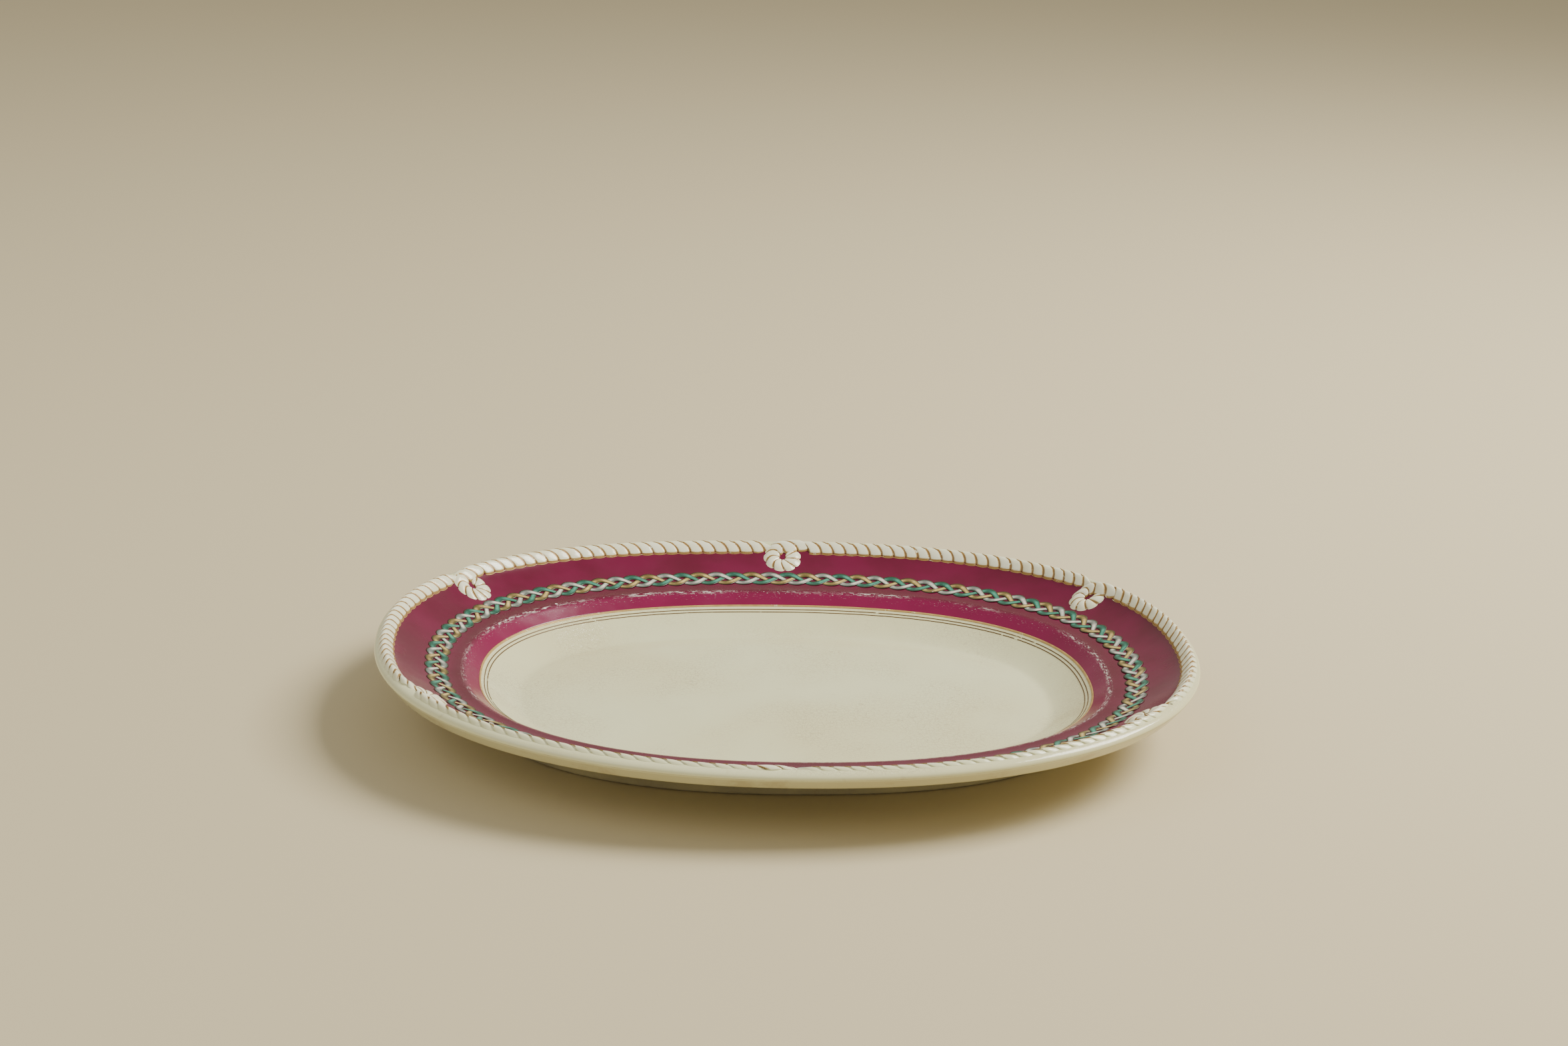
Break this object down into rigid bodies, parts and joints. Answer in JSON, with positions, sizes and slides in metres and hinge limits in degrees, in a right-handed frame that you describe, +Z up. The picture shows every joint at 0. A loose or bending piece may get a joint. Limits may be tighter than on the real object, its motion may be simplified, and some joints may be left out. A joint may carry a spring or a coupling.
{
  "type": "serving platter",
  "caption": "Oval glazed china serving platter with a moulded rope edge and loops, a crimson border, a painted plait and gilt lines.",
  "frame": {"origin": "centre of the foot's underside, on the table", "axes": "+X along the platter's length, +Y across its width, +Z up out of the well"},
  "size_m": [0.355, 0.29, 0.0365],
  "materials": {
    "cream_glaze": "glossy cream glaze over white earthenware, finely crazed",
    "foot_glaze": "cream glaze, rubbed and slightly stained on the foot",
    "rope_glaze": "glossy cream glaze with gold-brown lines painted between the strands",
    "crimson_ground": "glossy crimson ground colour, chipped and rubbed along the ridge",
    "plait_enamel": "painted plait of green, gold and silver-white strands on the crimson ground",
    "worn_gilding": "thin worn gilding, satin"
  },
  "bodies": {
    "root": {"platter_body": "cream_glaze", "foot_ring": "foot_glaze", "rope_length_1": "rope_glaze", "rope_length_2": "rope_glaze", "rope_length_3": "rope_glaze", "rope_length_4": "rope_glaze", "rope_length_5": "rope_glaze", "rope_length_6": "rope_glaze", "rope_loop_1": "rope_glaze", "rope_loop_2": "rope_glaze", "rope_loop_3": "rope_glaze", "rope_loop_4": "rope_glaze", "rope_loop_5": "rope_glaze", "rope_loop_6": "rope_glaze", "crimson_ground_outer": "crimson_ground", "crimson_ground_inner": "crimson_ground", "plait_band": "plait_enamel", "gilt_line": "worn_gilding", "gilt_hairline_outer": "worn_gilding", "gilt_hairline_inner": "worn_gilding"}
  },
  "joints": []
}
